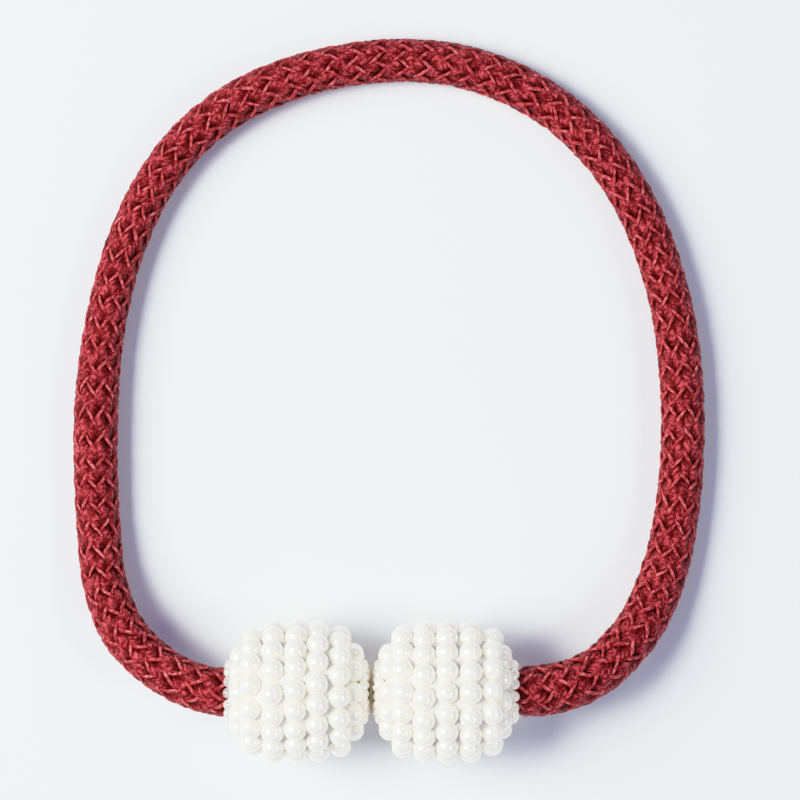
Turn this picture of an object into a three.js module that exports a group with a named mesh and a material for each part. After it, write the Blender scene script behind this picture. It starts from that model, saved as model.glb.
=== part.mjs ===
// A magnetic curtain tieback, lying closed on a table. One soft braided rope
// forms the loop. Each of its two ends is fixed in a ball, a core covered with
// rounds of strung pearls, and a magnet disc in each ball holds the two balls
// together.
//
// Millimetres. +X runs through both balls, +Y from the balls across the loop and
// +Z up. The origin lies on the table, under the middle of the clasp.

import * as THREE from 'three';

// ---- Driving dimensions ---------------------------------------------------

const GAP = 0.3; // between neighbouring pieces
const BEAD_EASE = 0.2; // a round's solid is this much slimmer than its beads
const RIM_FACETS = 20; // facets round a ball, with one flat on the table
const PEARL_SIDES = 8; // sides of the section of a pearl round
const SEED_SIDES = 6; // sides of the section of a round of small beads

// The rounds of one ball, from the clasp to the rope. "along" is the way from
// the clasp to the round's middle, "outer" the round's outer radius, and "bead"
// the diameter of its beads.
const ROUNDS = [
  { name: 'clasp_beads_inner', along: 1.5, outer: 4.3, bead: 1.8, sides: SEED_SIDES },
  { name: 'clasp_beads_outer', along: 1.75, outer: 6.4, bead: 2.2, sides: SEED_SIDES },
  { name: 'pearl_round_1', along: 3.85, outer: 10.15, bead: 4.6, sides: PEARL_SIDES },
  { name: 'pearl_round_2', along: 6.9, outer: 13.7, bead: 4.6, sides: PEARL_SIDES },
  { name: 'pearl_round_3', along: 11.35, outer: 14.75, bead: 4.6, sides: PEARL_SIDES },
  { name: 'pearl_round_4', along: 16.15, outer: 15.0, bead: 4.6, sides: PEARL_SIDES },
  { name: 'pearl_round_5', along: 20.95, outer: 14.75, bead: 4.6, sides: PEARL_SIDES },
  { name: 'pearl_round_6', along: 25.35, outer: 13.35, bead: 4.6, sides: PEARL_SIDES },
  { name: 'pearl_round_7', along: 28.3, outer: 9.8, bead: 4.6, sides: PEARL_SIDES },
  { name: 'rope_beads', along: 30.75, outer: 6.4, bead: 2.1, sides: SEED_SIDES },
];

const ROPE = { radius: 4.6, sides: 12, steps: 66, endAlong: 20.0 };
const MAGNET = { plateRadius: 4.6, plateThickness: 0.3, bodyRadius: 2.7, bodyEnd: 2.8 };

// Each ball lies on the lowest facet of its widest round, and the rope on the
// lowest facet of its section.
const BALL_AXIS_HEIGHT = Math.max(...ROUNDS.map((round) => round.outer));
const ROPE_REST_HEIGHT = ROPE.radius * flatFactor(ROPE.sides);

// The core's outline: a blunt barrel under the pearls, with a neck at its rope
// end that is bored to take the rope.
const CORE_OUTLINE = [
  { along: MAGNET.bodyEnd + GAP, radius: 5.1 },
  { along: 5.5, radius: 6.2 },
  { along: 8.5, radius: 9.6 },
  { along: 11.3, radius: 10.3 },
  { along: 20.8, radius: 10.3 },
  { along: 23.4, radius: 9.6 },
  { along: 26.3, radius: 5.6 },
  { along: 29.4, radius: 5.6 },
];
const CORE_BORE = { radius: ROPE.radius + GAP, end: ROPE.endAlong - GAP };

// The rope's middle line, from inside the right ball round to inside the left
// one. It comes out level, sinks to the table and lies there in an uneven loop.
// "lift" is the share of the way from the resting height to the ball's axis.
const ROPE_ROUTE = [
  { x: 20.0, y: 0.0, lift: 1 },
  { x: 26.0, y: 0.0, lift: 1 },
  { x: 32.0, y: 0.0, lift: 1 },
  { x: 37.0, y: 0.5, lift: 0.94 },
  { x: 42.6, y: 1.8, lift: 0.82 },
  { x: 48.0, y: 4.6, lift: 0.66 },
  { x: 52.2, y: 8.4, lift: 0.5 },
  { x: 56.0, y: 12.8, lift: 0.32 },
  { x: 58.9, y: 18.0, lift: 0.16 },
  { x: 61.1, y: 23.6, lift: 0.05 },
  { x: 62.8, y: 29.4, lift: 0 },
  { x: 64.7, y: 41.4, lift: 0 },
  { x: 65.4, y: 53.6, lift: 0 },
  { x: 65.0, y: 65.8, lift: 0 },
  { x: 63.4, y: 78.0, lift: 0 },
  { x: 60.3, y: 89.9, lift: 0 },
  { x: 55.7, y: 101.2, lift: 0 },
  { x: 49.1, y: 111.5, lift: 0 },
  { x: 40.5, y: 120.2, lift: 0 },
  { x: 30.1, y: 126.7, lift: 0 },
  { x: 18.5, y: 130.7, lift: 0 },
  { x: 6.4, y: 131.9, lift: 0 },
  { x: -5.9, y: 130.8, lift: 0 },
  { x: -17.7, y: 127.8, lift: 0 },
  { x: -28.9, y: 122.7, lift: 0 },
  { x: -38.5, y: 115.2, lift: 0 },
  { x: -45.9, y: 105.5, lift: 0 },
  { x: -51.2, y: 94.4, lift: 0 },
  { x: -54.7, y: 82.7, lift: 0 },
  { x: -56.9, y: 70.6, lift: 0 },
  { x: -57.9, y: 58.4, lift: 0 },
  { x: -58.0, y: 46.1, lift: 0 },
  { x: -57.4, y: 33.9, lift: 0 },
  { x: -55.9, y: 21.9, lift: 0.2 },
  { x: -51.2, y: 11.3, lift: 0.54 },
  { x: -42.2, y: 3.6, lift: 0.85 },
  { x: -36.8, y: 1.2, lift: 0.95 },
  { x: -32.0, y: 0.0, lift: 1 },
  { x: -26.0, y: 0.0, lift: 1 },
  { x: -20.0, y: 0.0, lift: 1 },
];

// ---- Finishes -------------------------------------------------------------

function finish(color, roughness, metalness) {
  return new THREE.MeshStandardMaterial({ color, roughness, metalness });
}

const ropeFibre = () => finish(0x9e2433, 0.75, 0);
const pearl = () => finish(0xefece6, 0.22, 0);
const clearBead = () => finish(0xe4ebee, 0.08, 0);
const coreResin = () => finish(0xb9aea0, 0.7, 0);
const magnetMetal = () => finish(0x8d7348, 0.35, 1);

// ---- Shapes ---------------------------------------------------------------

// The share of a regular polygon's corner radius at which its sides lie.
function flatFactor(sides) {
  return Math.cos(Math.PI / sides);
}

// A regular polygon with a flat side across its +Y and -Y directions.
function polygonPoints(sides, radius) {
  const points = [];
  for (let i = 0; i < sides; i += 1) {
    const angle = (2 * Math.PI * (i + 0.5)) / sides - Math.PI / 2;
    points.push(new THREE.Vector2(radius * Math.cos(angle), radius * Math.sin(angle)));
  }
  return points;
}

// Turns a profile of { along, radius } points about the X axis. The facets lie
// at the profile's radius, with one of them level at the bottom.
function turned(profile) {
  const points = profile.map(
    ({ along, radius }) => new THREE.Vector2(radius / flatFactor(RIM_FACETS), along),
  );
  const solid = new THREE.LatheGeometry(points, RIM_FACETS, Math.PI / RIM_FACETS);
  return solid.rotateZ(-Math.PI / 2);
}

// A round of beads as one ring, with a flat side to the outside. A profile that
// closes on itself runs clockwise, which turns the ring's faces outwards.
function beadRound({ along, outer, bead, sides }) {
  const sectionRadius = bead / 2 - BEAD_EASE;
  const ringRadius = outer - sectionRadius * flatFactor(sides);
  const section = polygonPoints(sides, sectionRadius).map((point) => ({
    along: along + point.x,
    radius: ringRadius + point.y,
  }));
  return turned([...section, section[0]].reverse());
}

function ballCore() {
  const clasp = CORE_OUTLINE[0];
  const neck = CORE_OUTLINE[CORE_OUTLINE.length - 1];
  return turned([
    { along: clasp.along, radius: 0 },
    ...CORE_OUTLINE,
    { along: neck.along, radius: CORE_BORE.radius },
    { along: CORE_BORE.end, radius: CORE_BORE.radius },
    { along: CORE_BORE.end, radius: 0 },
  ]);
}

// The thin plate that shows at the clasp, on the magnet's round body.
function magnet() {
  const face = GAP / 2;
  const back = face + MAGNET.plateThickness;
  return turned([
    { along: face, radius: 0 },
    { along: face, radius: MAGNET.plateRadius },
    { along: back, radius: MAGNET.plateRadius },
    { along: back, radius: MAGNET.bodyRadius },
    { along: MAGNET.bodyEnd, radius: MAGNET.bodyRadius },
    { along: MAGNET.bodyEnd, radius: 0 },
  ]);
}

// A route whose sections stay upright, so that the tube's lowest facet lies flat
// on the table all the way round.
class UprightRoute extends THREE.CatmullRomCurve3 {
  computeFrenetFrames(segments) {
    const up = new THREE.Vector3(0, 0, 1);
    const frames = { tangents: [], normals: [], binormals: [] };
    for (let i = 0; i <= segments; i += 1) {
      const tangent = this.getTangentAt(i / segments);
      const normal = new THREE.Vector3().crossVectors(up, tangent).normalize();
      frames.tangents.push(tangent);
      frames.normals.push(normal);
      frames.binormals.push(new THREE.Vector3().crossVectors(tangent, normal));
    }
    return frames;
  }
}

function rope() {
  const rise = BALL_AXIS_HEIGHT - ROPE_REST_HEIGHT;
  const route = new UprightRoute(
    ROPE_ROUTE.map(({ x, y, lift }) => new THREE.Vector3(x, y, ROPE_REST_HEIGHT + lift * rise)),
  );
  const section = new THREE.Shape(polygonPoints(ROPE.sides, ROPE.radius));
  return new THREE.ExtrudeGeometry(section, {
    steps: ROPE.steps,
    bevelEnabled: false,
    extrudePath: route,
  });
}

// ---- Assembly -------------------------------------------------------------

function piece(name, geometry, material) {
  const mesh = new THREE.Mesh(geometry, material);
  mesh.name = name;
  return mesh;
}

// One ball, with its clasp face at the origin and its axis along +X.
function ball(side) {
  const group = new THREE.Group();
  group.add(piece(`${side}_core`, ballCore(), coreResin()));
  group.add(piece(`${side}_magnet`, magnet(), magnetMetal()));
  for (const round of ROUNDS) {
    const material = round.sides === PEARL_SIDES ? pearl() : clearBead();
    group.add(piece(`${side}_${round.name}`, beadRound(round), material));
  }
  return group;
}

const tieback = new THREE.Group();

const rightBall = ball('right');
rightBall.position.set(0, 0, BALL_AXIS_HEIGHT);
tieback.add(rightBall);

const leftBall = ball('left');
leftBall.position.set(0, 0, BALL_AXIS_HEIGHT);
leftBall.rotation.z = Math.PI;
tieback.add(leftBall);

tieback.add(piece('rope', rope(), ropeFibre()));

export default tieback;
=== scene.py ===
"""The looks of a closed magnetic curtain tieback, lying on a pale table.

A soft rope, braided from crimson yarns, runs in a loop from one pearl ball to the
other. Each ball is a core under seven rounds of strung pearls, with small beads
round the rope and round the magnet. Everything is in metres, in the frame of
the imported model: +X through both balls, +Y across the loop and +Z up.
"""

import logging
import math
from dataclasses import dataclass, field
from enum import Enum

import bpy
import numpy as np
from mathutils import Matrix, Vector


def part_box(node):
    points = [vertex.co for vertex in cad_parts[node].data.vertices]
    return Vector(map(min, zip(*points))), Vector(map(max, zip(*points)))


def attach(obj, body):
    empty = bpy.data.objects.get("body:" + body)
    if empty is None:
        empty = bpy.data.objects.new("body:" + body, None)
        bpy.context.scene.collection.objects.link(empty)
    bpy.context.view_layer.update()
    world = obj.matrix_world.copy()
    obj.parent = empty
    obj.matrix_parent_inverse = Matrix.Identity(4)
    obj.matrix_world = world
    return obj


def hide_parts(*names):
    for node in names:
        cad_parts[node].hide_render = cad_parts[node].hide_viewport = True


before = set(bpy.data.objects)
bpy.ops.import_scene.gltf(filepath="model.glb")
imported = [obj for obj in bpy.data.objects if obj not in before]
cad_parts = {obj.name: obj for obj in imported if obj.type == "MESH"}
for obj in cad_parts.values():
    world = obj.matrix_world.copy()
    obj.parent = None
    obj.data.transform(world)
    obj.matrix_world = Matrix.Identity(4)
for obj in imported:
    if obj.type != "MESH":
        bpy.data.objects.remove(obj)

Array = np.ndarray
Material = bpy.types.Material
Piece = bpy.types.Object
Socket = bpy.types.NodeSocket

LOG = logging.getLogger("tieback")
MM = 0.001
BODY = "root"
BALL_SEED = 11

# The rope's middle line from inside the right ball to inside the left one: x and y
# in metres, and the share of the way from the resting height to the balls' axis.
ROPE_ROUTE = (
    (0.02, 0.0, 1.0), (0.026, 0.0, 1.0), (0.032, 0.0, 1.0), (0.037, 0.0005, 0.94),
    (0.0426, 0.0018, 0.82), (0.048, 0.0046, 0.66), (0.0522, 0.0084, 0.5), (0.056, 0.0128, 0.32),
    (0.0589, 0.018, 0.16), (0.0611, 0.0236, 0.05), (0.0628, 0.0294, 0.0), (0.0647, 0.0414, 0.0),
    (0.0654, 0.0536, 0.0), (0.065, 0.0658, 0.0), (0.0634, 0.078, 0.0), (0.0603, 0.0899, 0.0),
    (0.0557, 0.1012, 0.0), (0.0491, 0.1115, 0.0), (0.0405, 0.1202, 0.0), (0.0301, 0.1267, 0.0),
    (0.0185, 0.1307, 0.0), (0.0064, 0.1319, 0.0), (-0.0059, 0.1308, 0.0), (-0.0177, 0.1278, 0.0),
    (-0.0289, 0.1227, 0.0), (-0.0385, 0.1152, 0.0), (-0.0459, 0.1055, 0.0), (-0.0512, 0.0944, 0.0),
    (-0.0547, 0.0827, 0.0), (-0.0569, 0.0706, 0.0), (-0.0579, 0.0584, 0.0), (-0.058, 0.0461, 0.0),
    (-0.0574, 0.0339, 0.0), (-0.0559, 0.0219, 0.2), (-0.0512, 0.0113, 0.54), (-0.0422, 0.0036, 0.85),
    (-0.0368, 0.0012, 0.95), (-0.032, 0.0, 1.0), (-0.026, 0.0, 1.0), (-0.02, 0.0, 1.0),
)
# The rope's stoutness: pairs of the distance along it and the share of its radius.
ROPE_GIRTH = (
    (0.0, 0.92), (0.01, 0.92), (0.0118, 1.2), (0.016, 1.21), (0.021, 1.18), (0.032, 1.13), (0.042, 1.13),
    (0.053, 1.12), (0.064, 1.06), (0.075, 1.05), (0.095, 1.035), (0.117, 1.0), (0.137, 1.005),
    (0.158, 1.015), (0.169, 1.04), (0.19, 1.02), (0.2, 1.03), (0.212, 1.02), (0.222, 1.04),
    (0.233, 1.02), (0.244, 0.99), (0.254, 0.965), (0.276, 0.96), (0.293, 1.0), (0.305, 1.06),
    (0.328, 1.045), (0.34, 1.055), (0.353, 1.1), (0.365, 1.08), (0.374, 1.11), (0.3785, 1.15),
    (0.3805, 0.92), (0.39, 0.92),
)
ROPE_REST_HEIGHT = 0.004443
BALL_AXIS_HEIGHT = 0.015


class Side(Enum):
    """The two balls, by the sign of X on their side of the clasp."""

    RIGHT = 1
    LEFT = -1

    @property
    def prefix(self) -> str:
        """The first part of the names of this ball's nodes."""
        return self.name.lower()


class Hand(Enum):
    """The way in which a yarn winds round the rope."""

    LEFTWARD = 1
    RIGHTWARD = -1


class Yarn(Enum):
    """The two kinds of yarn that the braid takes in turn."""

    GIMP = "gimp"
    TOW = "tow"


# ---- Materials ----


class NodeSheet:
    """A short way to add shader nodes to one material."""

    def __init__(self, name: str) -> None:
        """Makes a material whose output takes a Principled BSDF.

        Args:
            name: the material's name.
        """
        self.material = bpy.data.materials.new(name)
        self.material.use_nodes = True
        self.tree = self.material.node_tree
        self.shader = self.tree.nodes["Principled BSDF"]

    @staticmethod
    def inputs(node: bpy.types.Node) -> dict:
        """Gives a node's inputs under their names in lower case with underscores."""
        return {socket.name.lower().replace(" ", "_"): socket for socket in node.inputs}

    def add(self, kind: str, feeds: dict | None = None, **values) -> bpy.types.Node:
        """Adds one node.

        Args:
            kind: the node's type, such as ShaderNodeTexNoise.
            feeds: input name or number to the output that feeds it, or to a constant.
            values: node properties, or constant inputs by their lower-case names.

        Returns:
            The new node.
        """
        node = self.tree.nodes.new(kind)
        by_key = self.inputs(node)
        for key, value in values.items():
            if key in by_key:
                by_key[key].default_value = value
            else:
                setattr(node, key, value)
        for name, source in (feeds or {}).items():
            if isinstance(source, Socket):
                self.tree.links.new(source, node.inputs[name])
            else:
                node.inputs[name].default_value = source
        return node

    def set(self, **values) -> None:
        """Sets constant inputs of the Principled BSDF by their lower-case names."""
        for key, value in values.items():
            self.inputs(self.shader)[key].default_value = value

    def feed(self, source: Socket, name: str) -> None:
        """Links an output socket to an input of the Principled BSDF."""
        self.tree.links.new(source, self.shader.inputs[name])

    def ramp(self, source: Socket, stops: tuple) -> Socket:
        """Turns a value into a colour.

        Args:
            source: the value, from 0 to 1.
            stops: pairs of position and colour, in order.

        Returns:
            The ramp's colour output.
        """
        node = self.add("ShaderNodeValToRGB", {"Fac": source})
        elements = node.color_ramp.elements
        while len(elements) < len(stops):
            elements.new(1.0)
        for element, (position, colour) in zip(elements, stops):
            element.position = position
            element.color = (*colour, 1.0)
        return node.outputs["Color"]

    def multiply_add(self, source: Socket, factor: float, added: Socket | float) -> Socket:
        """Works out source * factor + added."""
        feeds = {0: source, 1: factor, 2: added}
        return self.add("ShaderNodeMath", feeds, operation="MULTIPLY_ADD").outputs[0]

    def object_noise(self, scale: float, detail: float) -> Socket:
        """Adds noise on Object coordinates, and gives its value output."""
        feeds = {"Vector": self.add("ShaderNodeTexCoord").outputs["Object"]}
        return self.add("ShaderNodeTexNoise", feeds, scale=scale, detail=detail).outputs["Fac"]

    def bump(self, height: Socket, strength: float, distance: float, **base: Socket) -> Socket:
        """Roughens the surface's own Normal, or a given one, and gives its output."""
        feeds = {"Height": height, **base}
        return self.add("ShaderNodeBump", feeds, strength=strength, distance=distance).outputs["Normal"]


class Finish:
    """What every finish does: its nodes are added by its own dress method."""

    def make(self) -> Material:
        """Builds the material.

        Returns:
            The finished material.
        """
        sheet = NodeSheet(self.name)
        self.dress(sheet)
        return sheet.material


@dataclass(frozen=True)
class FibreFinish(Finish):
    """Silky crimson yarn: fine filaments along it, crumpled tufts, uneven dyeing and painted shading.

    Attributes:
        name: the material's name.
        dark, middle, light: the colours from deep between the fibres to their tops: painted
        shading in the depths and painted highlight on the tops, over the yarn's own crimson.
        roughness: the roughness of the gloss.
        filament: the width of a filament, in millimetres.
        relief, crumple: the depths of the filaments and of the tufts, in metres.
        filament_rate: how fast a filament changes along the yarn, per millimetre.
        tuft_rates: how fast the tufts change along and across it.
        filament_weight, tuft_weight, contrast, offset: the numbers of the tone.
        stops: the tones of the three colours.
    """

    name: str
    dark: tuple
    middle: tuple
    light: tuple
    roughness: float
    filament: float
    relief: float
    crumple: float
    filament_rate: float = 0.9
    tuft_rates: tuple = (1.1, 1.5, 1.0)
    filament_weight: float = 1.2
    tuft_weight: float = 1.5
    contrast: float = 0.8
    offset: float = -1.08
    stops: tuple = (0.13, 0.58, 0.95)

    def dress(self, sheet: NodeSheet) -> None:
        """Adds the nodes, on the UV map "yarn", which is in millimetres.

        The tone is contrast * (filament_weight * filaments + tuft_weight * tufts
        + shade) + offset. The vertex value shade is low where
        a yarn passes under another: painted shading. The filaments and tufts that the bumps
        raise are lighter in colour as well: painted highlight.

        Args:
            sheet: the material's nodes.
        """
        uv = sheet.add("ShaderNodeUVMap", uv_map="yarn").outputs["UV"]
        filaments = self.noise(sheet, uv, (self.filament_rate, 1.0 / self.filament, 1.0), 0.65)
        tufts = self.noise(sheet, uv, self.tuft_rates, 0.7)
        # Painted shading and painted highlight go into the base colour: the vertex value, and the same
        # noise that raises the filaments and tufts.
        shade = sheet.add("ShaderNodeAttribute", attribute_name="shade").outputs["Fac"]
        dye_and_painted_shade = sheet.multiply_add(filaments, self.filament_weight, shade)
        mixed = sheet.multiply_add(tufts, self.tuft_weight, dye_and_painted_shade)
        level = sheet.multiply_add(mixed, self.contrast, self.offset)
        colours = (self.dark, self.middle, self.light)
        sheet.feed(sheet.ramp(level, tuple(zip(self.stops, colours))), "Base Color")
        coarse = sheet.bump(tufts, 1.0, self.crumple)
        sheet.feed(sheet.bump(filaments, 0.8, self.relief, Normal=coarse), "Normal")
        sheet.set(
            roughness=self.roughness, specular_ior_level=0.28, specular_tint=(1.0, 0.22, 0.24, 1.0),
            sheen_weight=0.03, sheen_roughness=0.35, sheen_tint=(1.0, 0.2, 0.24, 1.0),
        )

    @staticmethod
    def noise(sheet: NodeSheet, uv: Socket, scale: tuple, rough: float) -> Socket:
        """Adds noise stretched along the yarn, and gives its value output."""
        feeds = {"Vector": sheet.add("ShaderNodeMapping", {"Vector": uv}, scale=scale).outputs["Vector"]}
        return sheet.add("ShaderNodeTexNoise", feeds, scale=1.0, detail=2.5, roughness=rough).outputs["Fac"]


@dataclass(frozen=True)
class PearlFinish(Finish):
    """White imitation pearl: a milky body with slight clouds, a hard gloss, and a faint glow: painted light
    for the light that passes through the pearls.
    """

    name: str
    face: tuple
    cloud: tuple

    def dress(self, sheet: NodeSheet) -> None:
        """Adds the nodes, on Object coordinates.

        Args:
            sheet: the material's nodes.
        """
        clouds = sheet.object_noise(scale=420.0, detail=2.0)
        sheet.feed(sheet.ramp(clouds, ((0.3, self.face), (0.7, self.cloud))), "Base Color")
        sheet.set(
            roughness=0.22, specular_ior_level=0.8, sheen_weight=0.5, sheen_roughness=0.3,
            subsurface_weight=1.0, subsurface_radius=(1.0, 0.97, 0.9), subsurface_scale=0.004,
            coat_weight=1.0, coat_roughness=0.08, coat_ior=2.0,
            # Painted light: the pearls glow faintly, though they are no lamp.
            emission_color=(1.0, 0.94, 0.84, 1.0), emission_strength=0.27,
        )


@dataclass(frozen=True)
class ClearBeadFinish(Finish):
    """Clear glass beads with the rainbow lustre of a thin coating, and a faint glow that is painted light.
    """

    name: str
    colour: tuple

    def dress(self, sheet: NodeSheet) -> None:
        """Adds the nodes, on Object coordinates.

        Args:
            sheet: the material's nodes.
        """
        waves = sheet.object_noise(scale=850.0, detail=1.0)
        sheet.feed(sheet.bump(waves, 1.0, 0.5 * MM), "Normal")
        sheet.set(
            base_color=(*self.colour, 1.0), roughness=0.06, ior=1.6, transmission_weight=0.75,
            specular_ior_level=1.0, thin_film_thickness=340.0, thin_film_ior=1.8,
            coat_weight=0.6, coat_roughness=0.05, coat_ior=1.8,
            # Painted light: the beads glow faintly, though they are no lamp.
            emission_color=(1.0, 0.98, 0.86, 1.0), emission_strength=0.17,
        )


@dataclass(frozen=True)
class MottledFinish(Finish):
    """A plain matter of slightly uneven colour: resin, worn gilding or a table top.

    Attributes:
        name: the material's name.
        colour: the full colour.
        low: the share of it that the darker patches have.
        scale, detail: the fineness of the patches, and within them.
        gloss: constant inputs of the shader, by their lower-case names.
        stops: the noise values where the darker and the full colour begin.
        grain: the depth of its bumps, in metres, or 0 for none.
    """

    name: str
    colour: tuple
    low: float
    scale: float
    detail: float
    gloss: dict
    stops: tuple = (0.3, 0.7)
    grain: float = 0.0

    def dress(self, sheet: NodeSheet) -> None:
        """Adds the nodes, on Object coordinates.

        Args:
            sheet: the material's nodes.
        """
        patches = sheet.object_noise(self.scale, self.detail)
        darker = tuple(self.low * part for part in self.colour)
        tones = tuple(zip(self.stops, (darker, self.colour)))
        sheet.feed(sheet.ramp(patches, tones), "Base Color")
        if self.grain:
            sheet.feed(sheet.bump(patches, 0.4, self.grain), "Normal")
        sheet.set(**self.gloss)


# ---- Surfaces ----


def placed(name: str, data: bpy.types.ID) -> Piece:
    """Makes an object of a mesh, a light or a camera, and links it to the scene.

    Args:
        name: the object's name.
        data: what it shows.

    Returns:
        The new object.
    """
    made = bpy.data.objects.new(name, data)
    bpy.context.scene.collection.objects.link(made)
    return made


def surface(name: str, points: Array, quads: Array, material: Material,
            uv: Array | None = None, shade: Array | None = None) -> Piece:
    """Makes a smooth mesh object from whole arrays.

    Args:
        name: the piece's name.
        points: vertex places, one row each, in metres.
        quads: four vertex numbers a face. A face whose last two numbers are the
            same is a triangle.
        material: the piece's finish.
        uv: one UV pair for each corner of each face, in millimetres.
        shade: one value from 0 to 1 for each vertex, stored as a vertex value of that name; on the yarns it
            holds painted shading and uneven dyeing.

    Returns:
        The new piece.
    """
    three = quads[:, 2] == quads[:, 3]
    corners = np.ones(quads.shape, dtype=bool)
    corners[three, 3] = False
    sizes = corners.sum(axis=1)
    mesh = bpy.data.meshes.new(name)
    mesh.vertices.add(len(points))
    mesh.vertices.foreach_set("co", points.astype(np.float32).ravel())
    mesh.loops.add(int(sizes.sum()))
    mesh.loops.foreach_set("vertex_index", quads[corners].astype(np.int32))
    mesh.polygons.add(len(quads))
    starts = np.cumsum(sizes) - sizes
    mesh.polygons.foreach_set("loop_start", starts.astype(np.int32))
    if uv is not None:
        layer = mesh.uv_layers.new(name="yarn")
        layer.uv.foreach_set("vector", uv[corners].astype(np.float32).ravel())
    if shade is not None:
        layer = mesh.attributes.new("shade", "FLOAT", "POINT")
        layer.data.foreach_set("value", shade.astype(np.float32))
    mesh.update(calc_edges=True)
    mesh.validate()
    mesh.shade_smooth()
    mesh.materials.append(material)
    return placed(name, mesh)


def wall_quads(rings: int, sides: int) -> Array:
    """Numbers the faces between each ring of vertices and the next.

    Args:
        rings: the number of rings.
        sides: vertices of each ring.

    Returns:
        One row of four vertex numbers a face.
    """
    ring, side = np.meshgrid(np.arange(rings - 1), np.arange(sides), indexing="ij")
    after = (side + 1) % sides
    here, next_one = ring * sides, (ring + 1) * sides
    corners = [here + side, here + after, next_one + after, next_one + side]
    return np.stack(corners, axis=-1).reshape(-1, 4)


def tube_quads(runs: int, rings: int, sides: int) -> Array:
    """Numbers the faces of several closed tubes, each with flat fans at its ends.

    The vertices are counted run by run, ring by ring and side by side. Faces look
    outwards where the sides go anticlockwise as seen against the direction of the
    tube.

    Args:
        runs: the number of tubes.
        rings: rings of each tube.
        sides: vertices of each ring.

    Returns:
        One row of four vertex numbers a face.
    """
    fan = np.arange(1, sides - 1)
    last = (rings - 1) * sides
    start = np.stack([0 * fan, fan + 1, fan, fan], axis=-1)
    end = np.stack([0 * fan + last, fan + last, fan + 1 + last, fan + 1 + last], axis=-1)
    one = np.concatenate([wall_quads(rings, sides), start, end])
    return (one[None] + (np.arange(runs) * rings * sides)[:, None, None]).reshape(-1, 4)


def turned_surface(along: Array, radius: Array, sides: int) -> tuple:
    """Turns a profile about the X axis, from a point on the axis to another.

    Each inner profile point gives a ring x = along, y = radius * cos(turn) and
    z = radius * sin(turn), and the first and last points are the poles.

    Args:
        along: the profile's way along the axis, rising.
        radius: its radius, zero at the first and last point.
        sides: vertices round the axis.

    Returns:
        The points, and the faces as rows of four vertex numbers.
    """
    turn = math.tau * np.arange(sides) / sides
    x, r = along[1:-1, None], radius[1:-1, None]
    rings = np.stack([x + 0 * turn, r * np.cos(turn), r * np.sin(turn)], axis=-1)
    poles = np.array([[along[0], 0, 0], [along[-1], 0, 0]])
    points = np.concatenate([rings.reshape(-1, 3), poles])
    side = np.arange(sides)
    after, pole = (side + 1) % sides, 0 * side + len(x) * sides
    last_ring = len(x) * sides - sides
    start = np.stack([after, side, pole, pole], axis=-1)
    end = np.stack([last_ring + side, last_ring + after, pole + 1, pole + 1], axis=-1)
    return points, np.concatenate([wall_quads(len(x), sides), start, end])


def flipped(quads: Array) -> Array:
    """Turns faces over, and keeps the repeated corner of a triangle last.

    Args:
        quads: one row of four vertex numbers a face.

    Returns:
        The turned faces.
    """
    three = quads[:, 2] == quads[:, 3]
    turned = quads[:, ::-1].copy()
    turned[three] = quads[three][:, [1, 0, 2, 3]]
    return turned


def unit(rows: Array) -> Array:
    """Gives each row the length 1."""
    return rows / np.linalg.norm(rows, axis=1, keepdims=True)


def unit_bead(cuts: int) -> tuple:
    """A round bead of radius 1: a cube's faces, cut into squares and pushed out.

    The squares are even in angle, so point (a, b) of a face goes to the direction
    (tan a, tan b, 1). Corners and edges that faces share are merged.

    Args:
        cuts: squares along each edge of the cube.

    Returns:
        The points, and the faces as rows of four vertex numbers.
    """
    step = np.tan(np.linspace(-math.pi / 4, math.pi / 4, cuts + 1))
    a, b = np.meshgrid(step, step, indexing="ij")
    one = np.ones_like(a)
    faces = (one, a, b), (-one, b, a), (b, one, a), (a, -one, b), (a, b, one), (b, a, -one)
    points = unit(np.concatenate([np.stack(face, axis=-1).reshape(-1, 3) for face in faces]))
    i, j = np.meshgrid(np.arange(cuts), np.arange(cuts), indexing="ij")
    row = cuts + 1
    near = i * row + j
    square = np.stack([near, near + row, near + row + 1, near + 1], axis=-1).reshape(-1, 4)
    quads = (square[None] + (np.arange(6) * row * row)[:, None, None]).reshape(-1, 4)
    places = np.round(points, 6)
    _, first, inverse = np.unique(places, axis=0, return_index=True, return_inverse=True)
    return points[first], inverse.reshape(-1)[quads]


class Waviness:
    """Smooth unevenness: a sum of a few sine waves with fixed random phases."""

    waves = 4
    rate_range = (0.8, 2.6)
    level = 2.4

    def __init__(self, rng: np.random.Generator, wavelength: float, rows: int = 1) -> None:
        """Draws the waves.

        Args:
            rng: the seeded source of random numbers.
            wavelength: the length of a wave of rate 1, in metres.
            rows: independent rows of unevenness.
        """
        rates = rng.uniform(*self.rate_range, (rows, self.waves))
        self.rates = math.tau / wavelength * rates
        self.phases = rng.uniform(0, math.tau, (rows, self.waves))

    def at(self, along: Array) -> Array:
        """Sums sin(rate * along + phase) over each row's waves: mostly from -1 to 1."""
        drawn = np.sin(along[..., None] * self.rates[:, None, :] + self.phases[:, None, :])
        return drawn.sum(axis=-1) / self.level


# ---- The rope ----


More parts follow.
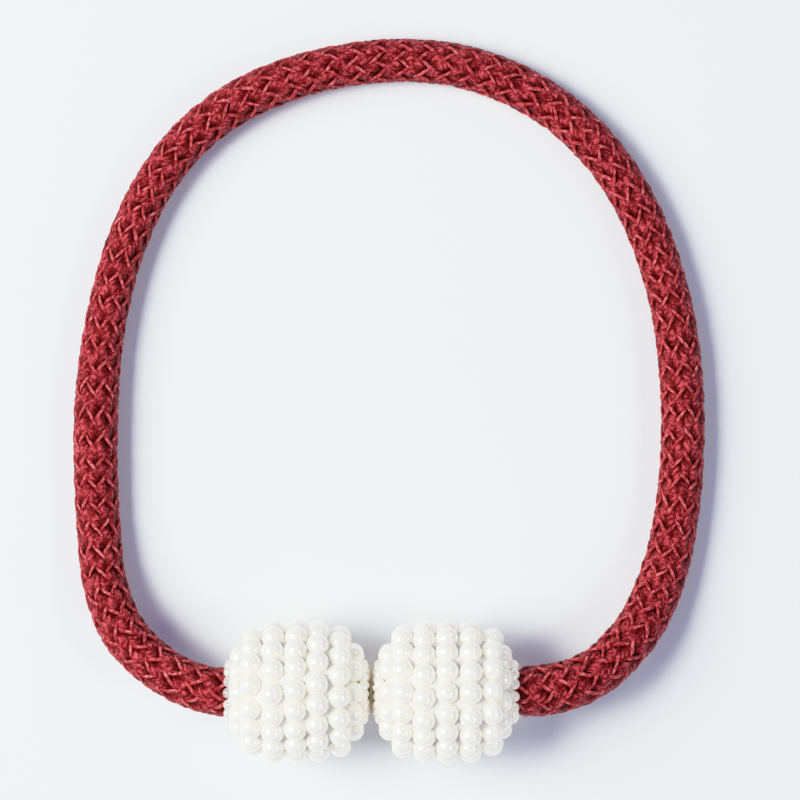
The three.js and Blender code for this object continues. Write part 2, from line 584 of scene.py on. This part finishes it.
class RopeLine:
    """The rope's middle line, with an upright frame at every point of it."""

    def __init__(self, step: float = 0.4 * MM, ease: float = 3.0 * MM, cuts: int = 40) -> None:
        """Draws a centripetal Catmull-Rom curve through the route and eases it.

        Args:
            step: the spacing of the stored points.
            ease: how far small kinks are averaged out to each side.
            cuts: points drawn between two points of the route.
        """
        rise = BALL_AXIS_HEIGHT - ROPE_REST_HEIGHT
        route = np.array(ROPE_ROUTE)
        knots = np.column_stack([route[:, :2], ROPE_REST_HEIGHT + rise * route[:, 2]])
        dense = self.catmull_rom(knots, cuts)
        far = self.distances(dense)
        stations = np.linspace(0, far[-1], int(far[-1] / step) + 1)
        even = np.column_stack([np.interp(stations, far, dense[:, i]) for i in range(3)])
        self.points = self.eased(even, int(ease / step))
        self.length = float(self.distances(self.points)[-1])
        self.along = np.linspace(0, self.length, len(self.points))
        ahead = unit(np.gradient(self.points, axis=0))
        self.side = unit(np.cross([0.0, 0.0, 1.0], ahead))
        self.up = np.cross(ahead, self.side)

    @staticmethod
    def catmull_rom(knots: Array, cuts: int) -> Array:
        """Blends each four knots in turn, with square-root spacing.

        Args:
            knots: the points to pass through.
            cuts: points drawn between two knots.

        Returns:
            The points of the curve.
        """
        ends = 2 * knots[[0, -1]] - knots[[1, -2]]
        full = np.concatenate([ends[:1], knots, ends[1:]])
        spans = len(full) - 3
        p0, p1, p2, p3 = (full[i:spans + i, None, :] for i in range(4))
        steps = np.linalg.norm(np.diff(full, axis=0), axis=1) ** 0.5
        t1, t2, t3 = np.cumsum([steps[i:spans + i, None, None] for i in range(3)], axis=0)
        t = t1 + (t2 - t1) * (np.arange(cuts) / cuts)[None, :, None]

        def mix(low: Array, high: Array, start: Array | float, end: Array) -> Array:
            """Blends two rows of points, by t's way from start to end."""
            return (end - t) / (end - start) * low + (t - start) / (end - start) * high

        a1, a2, a3 = mix(p0, p1, 0.0, t1), mix(p1, p2, t1, t2), mix(p2, p3, t2, t3)
        drawn = mix(mix(a1, a2, 0.0, t2), mix(a2, a3, t1, t3), t1, t2)
        return np.concatenate([drawn.reshape(-1, 3), knots[-1:]])

    @staticmethod
    def distances(points: Array) -> Array:
        """Gives the distance along a line of points, from its first point."""
        return np.concatenate([[0.0], np.cumsum(np.linalg.norm(np.diff(points, axis=0), axis=1))])

    @staticmethod
    def eased(points: Array, reach: int) -> Array:
        """Averages each point with its neighbours, the nearer ones more.

        Args:
            points: evenly spaced points.
            reach: neighbours counted on each side.

        Returns:
            The eased points, with the first and last ones kept.
        """
        window = np.hanning(2 * reach + 3)[1:-1]
        window /= window.sum()
        padded = np.pad(points, ((reach, reach), (0, 0)), "reflect", reflect_type="odd")
        return np.column_stack([np.convolve(padded[:, i], window, "valid") for i in range(3)])

    def place(self, along: Array, turn: Array, radius: Array) -> Array:
        """Finds points round the middle line.

        Each is line(along) + radius * (cos(turn) * side(along) + sin(turn) * up(along)).

        Args:
            along: distance along the rope.
            turn: angle from the rope's left side towards its top.
            radius: distance from the middle line.

        Returns:
            Points, in the shape of the arguments with 3 added.
        """
        cos, sin = np.cos(turn), np.sin(turn)
        found = [
            np.interp(along, self.along, self.points[:, i])
            + radius * cos * np.interp(along, self.along, self.side[:, i])
            + radius * sin * np.interp(along, self.along, self.up[:, i])
            for i in range(3)
        ]
        return np.stack(found, axis=-1)


@dataclass(frozen=True)
class YarnShape:
    """The section of one kind of yarn, and how it rides in the braid.

    Attributes:
        half_width, half_height: half of its width and of its height.
        middle, wave: the radius about which it rises and falls, and how far.
        float_bias: more than 0 if it lies on top for longer than beneath.
        spread: how much wider it is on top than underneath.
        swell: the unevenness of its width and height.
        wander: the unevenness of its path, in shares of the yarns' spacing.
        rib, lump: the heights of its bundles of filaments and of short swellings.
        steep: how sharply it rises and dives.
        tuck: how far the corners of a float are tucked in or out.
        top, under: section points over the top, and beneath without the edges.
        arch: the power of the sine that shapes the top.
        belly: the underside's depth, as a share of half_height.
    """

    half_width: float
    half_height: float
    middle: float
    wave: float
    float_bias: float
    spread: float
    swell: float
    wander: float
    rib: float
    lump: float
    steep: float
    tuck: float
    top: int
    under: int
    arch: float = 0.8
    belly: float = 0.9

    def section(self) -> tuple:
        """Draws the section, anticlockwise from one edge over the top to the other.

        Over the top its height is half_height * sin(turn) ** arch plus the ribs,
        and beneath it is belly * half_height * sin(turn).

        Returns:
            Arrays of across and outward distances.
        """
        turn = np.linspace(0, math.pi, self.top)
        rib = np.where(np.arange(self.top) % 2 == 0, -0.5, 0.5) * self.rib
        rib[[0, -1]] = 0
        over = np.sin(turn) ** self.arch * self.half_height + rib
        below = np.linspace(math.pi, math.tau, self.under + 2)[1:-1]
        across = np.cos(np.concatenate([turn, below])) * self.half_width
        return across, np.concatenate([over, np.sin(below) * self.belly * self.half_height])


YARN_SHAPES = {
    Yarn.GIMP: YarnShape(
        half_width=0.36 * MM, half_height=0.33 * MM, middle=3.84 * MM, wave=0.34 * MM,
        float_bias=0.42, spread=0.0, swell=0.04, wander=0.09, rib=0.0, lump=0.0, steep=1.6,
        tuck=0.0, top=6, under=4,
    ),
    Yarn.TOW: YarnShape(
        half_width=1.00 * MM, half_height=0.36 * MM, middle=3.62 * MM, wave=0.40 * MM,
        float_bias=0.05, spread=0.05, swell=0.14, wander=0.10, rib=0.12 * MM, lump=0.10 * MM,
        steep=0.8, tuck=0.2 * MM, top=9, under=5,
    ),
}


@dataclass
class Braid:
    """A tubular braid, over two and under two, of a thin gimp and a flat tow in turn.

    Yarns wind both ways. At every place round the rope only one of the two ways
    lies on top, so their floats stand in columns along the rope.
    """

    line: RopeLine
    fibre: dict
    heart_finish: Material
    diameter: float = 9.2 * MM
    yarns_each_way: int = 14
    pair_pitch: float = 4.83 * MM
    # The turn of the first column of floats, its wander, and the rope's own twist.
    first_column: float = math.radians(69.9)
    column_drift: float = math.radians(3.0)
    twist: float = math.radians(-76)
    twist_start: float = 184 * MM
    twist_run: float = 171 * MM
    # Wavelengths: the columns' wander, the crossings' shift along the rope, and each
    # yarn's own wander, swell, tilt and lumps.
    drift_wave: float = 90 * MM
    pace_wave: float = 45 * MM
    yarn_waves: tuple = (14 * MM, 7 * MM, 9 * MM, 3 * MM)
    # How far crossings shift, how much a yarn tips, and its lowest height.
    pace_shift: float = 0.5 * MM
    roll: float = 0.12
    clearance: float = 0.02 * MM
    # How much the lift, the upper face, the tucked edges and chance count in the vertex value
    # shade. The first three are painted shading, the last is uneven dyeing.
    lift_shade: float = 0.30
    top_shade: float = 0.22
    tuck_shade: float = 2.2
    dye_spread: float = 0.06
    # The radius at which a yarn's length is measured, and the filling's sizes.
    wound_radius: float = 3.8 * MM
    heart_radius: float = 2.95 * MM
    heart_rib: float = 0.05 * MM
    # How far yarns stop before the ends of the line, and how finely they are drawn.
    end_inset: float = 4.0 * MM
    rings: int = 850
    path_points: int = 120
    seed: int = 7
    pieces: list = field(default_factory=list)

    def __post_init__(self) -> None:
        """Works out the lay and draws the unevenness."""
        self.lay = self.pair_pitch * self.yarns_each_way / 2
        self.rng = np.random.default_rng(self.seed)
        self.drift = Waviness(self.rng, self.drift_wave)
        self.pace = Waviness(self.rng, self.pace_wave)

    def girth(self, along: Array) -> Array:
        """Gives the share of the plain radius at a distance along the rope."""
        return np.interp(along, *np.transpose(ROPE_GIRTH))

    def column_turn(self, along: Array) -> Array:
        """Gives the turn of the first column: a slow drift, and a twist beyond a place."""
        twisted = np.maximum((along - self.twist_start) / self.twist_run, 0)
        return self.first_column + self.column_drift * self.drift.at(along) + self.twist * twisted

    def phase(self, turn: Array) -> Array:
        """Gives the phase of the floats, a full circle for each four half columns."""
        return math.pi / 2 * (turn * self.yarns_each_way / math.pi - 0.5)

    def lift(self, turn: Array, hand: Hand, bias: float = 0.0, steep: float = 1.6) -> Array:
        """Gives how far a yarn rides over the other way's: 1 on top, about -1 beneath."""
        # It is tanh(steep * wave) / tanh(steep * (1 + bias)), where the wave is
        # hand * cos(phase) + bias. A bias above 0 lets the yarn float for longer, and
        # steep sharpens its rise and dive. The turn is counted from the first column.
        wave = hand.value * np.cos(self.phase(turn)) + bias
        return np.tanh(steep * wave) / math.tanh(steep * (1 + bias))

    def strands(self, yarn: Yarn, hand: Hand) -> Piece:
        """Builds every second yarn of one hand, as one piece.

        Yarn k lies at the turn hand * 2 pi * along / lay + 2 pi * k / yarns. Its
        section is laid out on the rope's own surface: across the yarn's direction,
        and outwards from the radius middle + wave * lift.

        Args:
            yarn: the kind of yarn.
            hand: the way in which they wind.

        Returns:
            The new piece.
        """
        shape = YARN_SHAPES[yarn]
        first = 0 if yarn is Yarn.GIMP else 1
        count = self.yarns_each_way // 2
        own = np.arange(first, self.yarns_each_way, 2)[:, None]
        across, outward = shape.section()
        along = np.linspace(self.end_inset, self.line.length - self.end_inset, self.rings)
        wander, swell, tilt, lump = (Waviness(self.rng, wave, count).at(along) for wave in self.yarn_waves)
        gap = math.tau / self.yarns_each_way
        paced = along + self.pace_shift * self.pace.at(along)
        turn = hand.value * math.tau * paced / self.lay + gap * (own + shape.wander * wander)
        slope = math.atan(math.tau * shape.middle / self.lay)
        spread = 1 + shape.swell * swell + shape.spread * self.lift(turn, hand)
        wide = across * spread[..., None]
        local_turn = turn[..., None] + math.cos(slope) * wide / shape.middle
        local_along = along[:, None] - hand.value * math.sin(slope) * wide
        lift = self.lift(local_turn, hand, shape.float_bias, shape.steep)
        high = outward * (1 + shape.swell * tilt[..., None]) + self.roll * tilt[..., None] * wide
        float_end = hand.value * np.sin(self.phase(local_turn))
        corner = float_end * across / shape.half_width
        high += shape.lump * lump[..., None] + shape.tuck * corner
        radius = (shape.middle + shape.wave * lift + high) * self.girth(local_along)
        start = self.column_turn(along)[..., None]
        points = self.line.place(local_along, local_turn + start, radius)
        points[..., 2] = np.maximum(points[..., 2], self.clearance)
        # Painted shading: darker where the yarn dives under the other way's, on the underside of its
        # section and at two corners of each float, lighter at the other two. Each yarn's uneven dyeing is
        # added to it.
        depth = self.lift_shade * (lift + 1) + self.top_shade * (outward / shape.half_height)
        depth += self.tuck_shade * shape.tuck / MM * corner
        shade = depth + self.rng.uniform(-self.dye_spread, self.dye_spread, (count, 1, 1))
        if hand is Hand.RIGHTWARD:
            points, shade = points[:, :, ::-1], shade[:, :, ::-1]
        quads = tube_quads(count, self.rings, len(across))
        name = f"rope_{yarn.value}_{hand.name.lower()}"
        uv = self.yarn_uv(quads, across, outward)
        return surface(name, points.reshape(-1, 3), quads, self.fibre[yarn], uv, shade.ravel())

    def yarn_uv(self, quads: Array, across: Array, outward: Array) -> Array:
        """Lays a UV map on yarns: along them and round their section, in millimetres.

        Each yarn has its own shift in the map, so that no two are dyed alike.

        Args:
            quads: the faces of the yarns.
            across, outward: the section's distances.

        Returns:
            A UV pair for each corner of each face.
        """
        along_shift, round_shift = 977.0, 31.0
        sides = len(across)
        ring = (quads // sides) % self.rings
        yarn = quads // (sides * self.rings)
        side = quads % sides
        wraps = (side.max(axis=1) == sides - 1) & (side.min(axis=1) == 0)
        side = np.where(wraps[:, None] & (side == 0), sides, side)
        edge = np.hypot(*(np.diff(np.append(row, row[0])) for row in (across, outward)))
        around = np.concatenate([[0.0], np.cumsum(edge)]) / MM
        stretch = math.hypot(1.0, math.tau * self.wound_radius / self.lay)
        run = self.line.length / self.rings * stretch / MM
        return np.stack([ring * run + along_shift * yarn, around[side] + round_shift * yarn], axis=-1)

    def heart(self) -> Piece:
        """Builds the filling of straight yarns that shows in the braid's gaps.

        It is a tube of radius heart_radius * girth with shallow lengthwise ribs. Its finish is far
        darker than the yarns': painted shading for the depth of the gaps.

        Returns:
            The new piece.
        """
        sides, rings, side_width = 24, 420, 0.9
        along = np.linspace(self.end_inset, self.line.length - self.end_inset, rings)[:, None]
        turn = math.tau * np.arange(sides)[None, :] / sides
        radius = self.heart_radius * self.girth(along) + self.heart_rib * np.cos(turn * sides / 2)
        points = self.line.place(along + 0 * turn, turn + 0 * along, radius)
        quads = tube_quads(1, rings, sides)[:, ::-1]
        ring = quads // sides
        uv = np.stack([ring * self.line.length / rings / MM, (quads % sides) * side_width], axis=-1)
        shade = np.zeros(rings * sides)
        return surface("rope_heart", points.reshape(-1, 3), quads, self.heart_finish, uv, shade)

    def build(self) -> None:
        yarns = [self.strands(yarn, hand) for hand in Hand for yarn in Yarn]
        self.pieces = [*yarns, self.heart()]
        for piece in self.pieces:
            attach(piece, BODY)
            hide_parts("rope")
        inset = self.end_inset
        path_along = np.linspace(inset, self.line.length - inset, self.path_points)
        path = self.line.place(path_along, 0 * path_along, 0 * path_along)


# ---- The balls ----


class Bead(Enum):
    """The kinds of bead on a ball."""

    PEARL = "pearl"
    CREAM = "small and creamy"
    CLEAR = "small and clear"

    @property
    def slot(self) -> str:
        """The record's material slot for this kind."""
        return "pearl" if self is Bead.PEARL else "clear_bead"

    @property
    def cuts(self) -> int:
        """The squares along each edge of a bead's cube."""
        return 4 if self is Bead.PEARL else 3


@dataclass(frozen=True)
class BeadRow:
    """One round of beads: how many, how big, and how they sit on the ball.

    Attributes:
        name: the second part of the node's name.
        kind: the kind of bead.
        count: beads in the round.
        bead: a bead's diameter.
        along: the round's distance from the clasp, for each side.
        phase: the share of one bead's step by which the round is turned.
        out: how far the beads' circle lies outside the plain ring's.
    """

    name: str
    kind: Bead
    count: int
    bead: float
    along: dict
    phase: dict
    out: float = 0.0


def both(left: float, right: float, unit: float = 1.0) -> dict:
    """Gives each ball its own number, in a unit such as MM."""
    return {Side.LEFT: left * unit, Side.RIGHT: right * unit}


ROWS = (
    BeadRow("clasp_beads_inner", Bead.CREAM, 15, 1.8 * MM, both(1.22, 1.22, MM), both(0.1, 0.4), 0.9 * MM),
    BeadRow("clasp_beads_outer", Bead.CREAM, 17, 2.2 * MM, both(1.75, 1.75, MM), both(0.3, 0.0), 0.3 * MM),
    BeadRow("pearl_round_1", Bead.PEARL, 11, 4.4 * MM, both(3.75, 3.7, MM), both(-0.11, -0.18)),
    BeadRow("pearl_round_2", Bead.PEARL, 16, 4.6 * MM, both(6.5, 6.5, MM), both(0.05, -0.21)),
    BeadRow("pearl_round_3", Bead.PEARL, 17, 4.7 * MM, both(11.0, 10.9, MM), both(0.39, 0.07)),
    BeadRow("pearl_round_4", Bead.PEARL, 18, 4.65 * MM, both(15.5, 15.6, MM), both(-0.33, -0.18)),
    BeadRow("pearl_round_5", Bead.PEARL, 17, 4.7 * MM, both(20.2, 20.4, MM), both(-0.18, -0.08)),
    BeadRow("pearl_round_6", Bead.PEARL, 15, 4.7 * MM, both(24.7, 24.95, MM), both(-0.42, -0.18)),
    BeadRow("pearl_round_7", Bead.PEARL, 10, 4.5 * MM, both(27.2, 27.0, MM), both(-0.05, 0.32)),
    BeadRow("rope_beads", Bead.CLEAR, 14, 2.2 * MM, both(29.4, 29.5, MM), both(-0.04, 0.25), 0.15 * MM),
)


@dataclass
class PearlBall:
    """One ball: core, magnet, pearls and small beads."""

    side: Side
    pearl: Material
    clear: Material
    resin: Material
    plate: Material
    # How far beads are off their even places: in turn, along the axis and outwards.
    turn_play: float = 0.012
    along_play: float = 0.05 * MM
    ring_play: float = 0.03 * MM
    # The least and the most by which a bead is larger than stated.
    growth: tuple = (0.02, 0.05)
    # The core's radius at the clasp and at the rope, its points and those it is eased over.
    clasp_radius: float = 5.6 * MM
    rope_radius: float = 5.3 * MM
    core_points: int = 80
    core_ease: int = 11
    turned_sides: int = 64
    pieces: list = field(default_factory=list)

    def bead_round(self, row: BeadRow, rng: np.random.Generator) -> None:
        """Strings one round of beads on the circle of its plain ring, as one piece.

        Bead k sits at the turn 2 pi * (k + phase) / count from the top, on a circle
        about the ball's axis, and is turned, moved and sized at random by a little.

        Args:
            row: the round's numbers.
            rng: the seeded source of random numbers.
        """
        node = f"{self.side.prefix}_{row.name}"
        low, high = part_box(node)
        shape, quads = unit_bead(row.kind.cuts)
        turn = math.tau * (np.arange(row.count) + row.phase[self.side]) / row.count
        turn += rng.normal(0, self.turn_play, row.count)
        along = self.side.value * row.along[self.side] + rng.normal(0, self.along_play, row.count)
        ring = (high[1] - low[1]) / 2 - row.bead / 2 + row.out
        ring = ring + rng.normal(0, self.ring_play, row.count)
        height = (low[2] + high[2]) / 2 + ring * np.cos(turn)
        centres = np.stack([along, -ring * np.sin(turn), height], axis=-1)
        size = row.bead / 2 * (1 + rng.uniform(*self.growth, row.count))
        spins = np.linalg.qr(rng.normal(size=(row.count, 3, 3)))[0]
        spins *= np.sign(np.linalg.det(spins))[:, None, None]
        points = centres[:, None] + size[:, None, None] * np.einsum("nij,kj->nki", spins, shape)
        faces = quads[None] + (np.arange(row.count) * len(shape))[:, None, None]
        finish = self.clear if row.kind is Bead.CLEAR else self.pearl
        made = surface(f"{node}_strung", points.reshape(-1, 3), faces.reshape(-1, 4), finish)
        self.settle(made, node)

    def settle(self, piece: Piece, node: str) -> None:
        """Rides a piece on the body and lets it stand for a node.

        Args:
            piece: the finished piece.
            node: the node that it stands for.
        """
        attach(piece, BODY)
        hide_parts(node)
        self.pieces.append(piece)

    def turned(self, node: str, along: Array, radius: Array, finish: Material, slot: str) -> None:
        """Makes a turned piece on the ball's axis, in place of a node.

        Args:
            node: the node that the piece stands for.
            along: the profile's way from the clasp, rising.
            radius: the profile's radius, zero at both ends.
            finish: the piece's material.
            slot: the record's material slot; not used.
        """
        points, quads = turned_surface(along, radius, self.turned_sides)
        points[:, 0] *= self.side.value
        if self.side is Side.LEFT:
            quads = flipped(quads)
        points[:, 2] += BALL_AXIS_HEIGHT
        self.settle(surface(f"{node}_turned", points, quads, finish), node)

    def core(self) -> None:
        """Turns the core: at each round of pearls it reaches the pearls' circle."""
        node = f"{self.side.prefix}_core"
        low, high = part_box(node)
        start, end = sorted(abs(value) for value in (low[0], high[0]))
        first_knot = start + 0.5 * MM
        knots = [(start, self.clasp_radius)]
        for row in ROWS:
            if row.kind is Bead.PEARL:
                bottom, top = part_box(f"{self.side.prefix}_{row.name}")
                ring = (top[1] - bottom[1]) / 2 - row.bead / 2
                knots.append((max(row.along[self.side], first_knot), ring))
        knots.append((end, self.rope_radius))
        along = np.linspace(start, end, self.core_points)
        radius = np.interp(along, *np.transpose(knots))
        window = np.hanning(self.core_ease + 2)[1:-1]
        padded = np.pad(radius, self.core_ease // 2, mode="edge")
        radius = np.convolve(padded, window / window.sum(), "valid")
        self.turned(node, np.pad(along, 1, "edge"), np.pad(radius, 1), self.resin, "ball_core")

    def magnet(self) -> None:
        """Turns the magnet: a thin plate with a rounded rim on a short round body."""
        node = f"{self.side.prefix}_magnet"
        low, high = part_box(node)
        end = max(abs(low[0]), abs(high[0]))
        rim = (high[1] - low[1]) / 2
        face, back, edge, body, step = 0.03 * MM, 0.24 * MM, 0.05 * MM, 2.6 * MM, 0.01 * MM
        bevel = 0.3 * edge
        profile = np.array([
            (face, 0), (face, rim - edge), (face + bevel, rim - bevel), (face + edge, rim),
            (back - edge, rim), (back - bevel, rim - bevel), (back, rim - edge),
            (back + step, body), (end - edge, body), (end, body - edge), (end, 0),
        ])
        self.turned(node, profile[:, 0], profile[:, 1], self.plate, "magnet_metal")

    def build(self) -> None:
        """Builds the whole ball."""
        rng = np.random.default_rng(BALL_SEED + self.side.value)
        self.core()
        self.magnet()
        for row in ROWS:
            self.bead_round(row, rng)


# ---- The studio ----


@dataclass(frozen=True)
class SoftBox:
    """A square area light that looks at the middle of the tieback."""

    name: str
    direction: tuple
    size: float
    watts: float
    colour: tuple
    distance: float = 1.4

    def make(self, target: Array) -> None:
        """Builds the light.

        Args:
            target: the point that it looks at.
        """
        data = bpy.data.lights.new(self.name, "AREA")
        data.shape = "SQUARE"
        data.size = self.size
        data.energy = self.watts
        data.color = self.colour
        made = placed(self.name, data)
        towards = np.array(self.direction) / np.linalg.norm(self.direction)
        made.location = target + self.distance * towards
        made.rotation_euler = Vector(towards).to_track_quat("Z", "Y").to_euler()


@dataclass
class Studio:
    """The table, the soft light and the camera straight above."""

    camera_height: float = 0.8
    sensor_width: float = 36.0
    view_width: float = 169.1 * MM
    view_centre: tuple = (5.95 * MM, 60.5 * MM)
    table_size: float = 3.0
    sky: tuple = (0.075, 0.105, 0.33)
    # The brightness where the soft shoulder begins, and the one that comes out white.
    knee: float = 0.5
    brightest: float = 6.0
    lights: tuple = (
        SoftBox("key_softbox", (-0.678, 0.071, 0.731), 0.95, 21.6, (0.95, 1.0, 0.93)),
        SoftBox("fill_softbox", (0.599, -0.559, 0.574), 0.90, 3.0, (1.0, 1.0, 0.82)),
        SoftBox("highlight", (-0.54, 0.05, 0.84), 0.40, 8.4, (0.97, 1.0, 0.94)),
        SoftBox("catch_light", (0.62, -0.17, 0.766), 0.25, 2.7, (1.0, 1.0, 0.95)),
        SoftBox("back_softbox", (0.527, 0.627, 0.574), 0.30, 1.6, (1.0, 1.0, 0.75)),
    )

    def camera(self) -> None:
        """Puts the camera above the loop, with +Y at the top of the view."""
        data = bpy.data.cameras.new("camera")
        data.sensor_width = self.sensor_width
        data.lens = self.sensor_width * self.camera_height / self.view_width
        data.clip_end = 20.0
        made = placed("camera", data)
        made.location = (*self.view_centre, self.camera_height)
        bpy.context.scene.camera = made

    def tone(self) -> None:
        """Gives the tones a soft shoulder, so that white things keep their shading.

        Up to the knee a value stays as it is. A brighter value x becomes
        knee + room * (1 - exp(-(x - knee) / room)), where room is 1 - knee.
        """
        combined, first_above, points_above = 3, 1.3, 10
        view = bpy.context.scene.view_settings
        view.view_transform = "Standard"
        view.use_curve_mapping = True
        view.curve_mapping.white_level = (self.brightest,) * 3
        above_knee = np.geomspace(first_above, self.brightest / self.knee, points_above)
        stops = self.knee * np.concatenate([[0.0, 0.5, 1.0], above_knee])
        room = 1 - self.knee
        above = np.maximum(stops - self.knee, 0)
        tones = np.minimum(stops, self.knee) + room * (1 - np.exp(-above / room))
        points = view.curve_mapping.curves[combined].points
        while len(points) < len(stops):
            points.new(0.5, 0.5)
        for point, stop, tone in zip(points, stops, tones):
            point.location = (stop / self.brightest, tone)
            point.handle_type = "VECTOR" if stop <= self.knee else "AUTO"
        view.curve_mapping.update()

    def table(self) -> None:
        """Lays the table top, a level square just under the tieback."""
        corners = self.table_size / 2 * np.array([(-1, -1, 0), (1, -1, 0), (1, 1, 0), (-1, 1, 0)])
        finish = MottledFinish(
            "table_top", (0.88, 0.88, 0.88), low=0.985, scale=9.0, detail=2.0,
            gloss={"roughness": 0.85, "specular_ior_level": 0.2},
        ).make()
        surface("table_top", corners, np.array([[0, 1, 2, 3]]), finish)

    def light(self) -> None:
        """Sets the pale sky light and the soft boxes."""
        world = bpy.data.worlds.new("studio")
        world.use_nodes = True
        back = world.node_tree.nodes["Background"]
        back.inputs["Color"].default_value = (*self.sky, 1.0)
        bpy.context.scene.world = world
        target = np.array([*self.view_centre, 0.0])
        for box in self.lights:
            box.make(target)

    def build(self) -> None:
        """Builds the whole studio."""
        self.tone()
        self.camera()
        self.table()
        self.light()


def main() -> None:
    """Builds the scene."""
    logging.basicConfig(level=logging.INFO, format="%(name)s: %(message)s")
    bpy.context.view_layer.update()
    Studio().build()
    fibre = {
        Yarn.GIMP: FibreFinish(
            "gimp_yarn", (0.035, 0.0008, 0.0008), (0.37, 0.023, 0.024), (1.0, 0.27, 0.28),
            roughness=0.42, filament=0.16, relief=0.05 * MM, crumple=0.06 * MM,
        ).make(),
        Yarn.TOW: FibreFinish(
            "tow_yarn", (0.022, 0.0004, 0.0004), (0.155, 0.0035, 0.0045), (0.78, 0.10, 0.12),
            roughness=0.38, filament=0.34, relief=0.22 * MM, crumple=0.42 * MM,
        ).make(),
    }
    # The heart shows only in the braid's gaps; its colours, far darker than the yarns', are painted shading
    # for the depth of those gaps.
    heart = FibreFinish(
        "heart_yarn", (0.04, 0.001, 0.001), (0.08, 0.002, 0.002), (0.14, 0.004, 0.005),
        roughness=0.7, filament=0.2, relief=0.05 * MM, crumple=0.05 * MM,
    ).make()
    braid = Braid(RopeLine(), fibre, heart)
    braid.build()
    pearl = PearlFinish("white_pearl", face=(0.75, 0.73, 0.60), cloud=(0.75, 0.72, 0.58)).make()
    clear = ClearBeadFinish("clear_bead", (1.0, 0.99, 0.97)).make()
    resin = MottledFinish(
        "core_resin", (0.92, 0.89, 0.77), low=0.8, scale=900.0, detail=3.0,
        gloss={"roughness": 0.65}, grain=0.1 * MM,
    ).make()
    plate = MottledFinish(
        "gold_plate", (0.62, 0.51, 0.32), low=0.75, scale=700.0, detail=4.0, stops=(0.35, 0.65),
        gloss={"metallic": 0.55, "roughness": 0.45},
    ).make()
    made = list(braid.pieces)
    for side in Side:
        ball = PearlBall(side, pearl, clear, resin, plate)
        ball.build()
        made += ball.pieces
    for piece in made:
        LOG.info("%s: %d faces", piece.name, len(piece.data.polygons))


if __name__ == "__main__":
    main()
